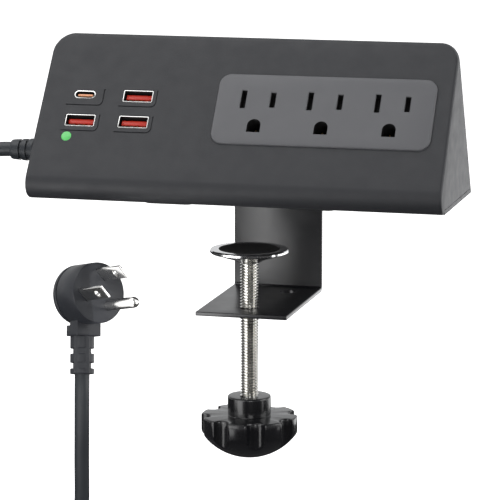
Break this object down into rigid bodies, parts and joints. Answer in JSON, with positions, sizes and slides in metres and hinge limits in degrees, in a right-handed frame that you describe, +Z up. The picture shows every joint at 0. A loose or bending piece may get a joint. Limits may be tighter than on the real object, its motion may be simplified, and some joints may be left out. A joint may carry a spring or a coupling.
{
  "type": "desk clamp power strip",
  "caption": "Wedge-shaped desk power strip with grounded outlets and USB ports on its leaning front, a steel clamp with screw and knob for a desk edge, and a coiled cord with a flat round plug",
  "frame": {"origin": "on the axis of the clamp screw, in the plane that rests on the desk top", "axes": "X along the strip, to the right as seen by the person using it; Y away from that person, toward the desk edge; Z up"},
  "size_m": [0.237, 0.1037, 0.2382],
  "materials": {
    "shell_plastic": "fine matt texture",
    "panel_plastic": "fine matt texture",
    "inner_plastic": "plain moulded",
    "shutter_plastic": "plain moulded",
    "zinc_steel": "zinc plated",
    "contact_brass": "rolled strip",
    "plated_pins": "nickel plated",
    "port_metal": "tin plated",
    "tongue_red": "moulded",
    "tongue_orange": "moulded",
    "circuit_board": "solder mask",
    "winding_yellow": "tape wrapped",
    "lamp_green": "clear tinted",
    "lamp_clear": "clear",
    "wire_white": "insulation",
    "wire_black": "insulation",
    "wire_green": "insulation",
    "cord_rubber": "satin",
    "plug_plastic": "satin moulded",
    "tie_fabric": "hook and loop",
    "black_paint": "gloss powder coat",
    "pad_rubber": "soft matt",
    "bright_chrome": "polished",
    "knob_plastic": "polished moulded"
  },
  "bodies": {
    "strip": {"top_shell": "shell_plastic", "base_cover": "shell_plastic", "outlet_panel": "panel_plastic", "outlet_carrier": "inner_plastic", "shutter_spring_left": "zinc_steel", "shutter_spring_middle": "zinc_steel", "shutter_spring_right": "zinc_steel", "neutral_bus": "contact_brass", "line_bus": "contact_brass", "ground_bus": "contact_brass", "usb_a_shell_upper": "port_metal", "usb_a_shell_left": "port_metal", "usb_a_shell_right": "port_metal", "usb_c_shell": "port_metal", "usb_a_tongue_upper": "tongue_red", "usb_a_tongue_left": "tongue_red", "usb_a_tongue_right": "tongue_red", "usb_c_tongue": "tongue_orange", "usb_board": "circuit_board", "supply_board": "circuit_board", "transformer": "winding_yellow", "capacitor": "inner_plastic", "board_screws": "zinc_steel", "indicator_lens": "lamp_green", "indicator_led": "lamp_clear", "neutral_wire": "wire_white", "line_wire": "wire_black", "ground_wire": "wire_green", "strain_relief": "cord_rubber", "cord_clamp": "inner_plastic", "cord_clamp_screws": "zinc_steel", "housing_screws": "zinc_steel", "clamp_bracket": "black_paint", "bracket_screws": "zinc_steel", "desk_pad_left": "pad_rubber", "desk_pad_right": "pad_rubber", "power_cord": "cord_rubber", "cord_coil": "cord_rubber", "plug_cord": "cord_rubber", "cord_tie": "tie_fabric", "plug_body": "plug_plastic", "plug_cap": "plug_plastic", "plug_relief": "cord_rubber", "line_blade": "plated_pins", "neutral_blade": "plated_pins", "ground_pin": "plated_pins"},
    "shutter_left": {"shutter_left": "shutter_plastic"},
    "shutter_middle": {"shutter_middle": "shutter_plastic"},
    "shutter_right": {"shutter_right": "shutter_plastic"},
    "pad": {"pressure_pad": "bright_chrome", "pad_cushion": "pad_rubber"},
    "screw": {"clamp_screw": "bright_chrome", "clamp_knob": "knob_plastic"}
  },
  "joints": [
    {"name": "shutter_slide_left", "type": "slide", "parent": "strip", "child": "shutter_left", "axis": [1, 0, 0], "range_m": [0, 0.0026], "stiffness_N_per_m": 120, "springref_m": -0.002, "deforming": ["shutter_spring_left"]},
    {"name": "shutter_slide_middle", "type": "slide", "parent": "strip", "child": "shutter_middle", "axis": [1, 0, 0], "range_m": [0, 0.0026], "stiffness_N_per_m": 120, "springref_m": -0.002, "deforming": ["shutter_spring_middle"]},
    {"name": "shutter_slide_right", "type": "slide", "parent": "strip", "child": "shutter_right", "axis": [1, 0, 0], "range_m": [0, 0.0026], "stiffness_N_per_m": 120, "springref_m": -0.002, "deforming": ["shutter_spring_right"]},
    {"name": "clamp_travel", "type": "slide", "parent": "strip", "child": "pad", "axis": [0, 0, 1], "range_m": [-0.01925, 0.018]},
    {"name": "knob_spin", "type": "hinge", "parent": "pad", "child": "screw", "pos_m": [0, 0, -0.06], "axis": [0, 0, 1], "range_deg": [-5545, 5185]}
  ],
  "couplings": [
    {"joint": "knob_spin", "follows": "clamp_travel", "rad_per_m": 5026.5}
  ]
}
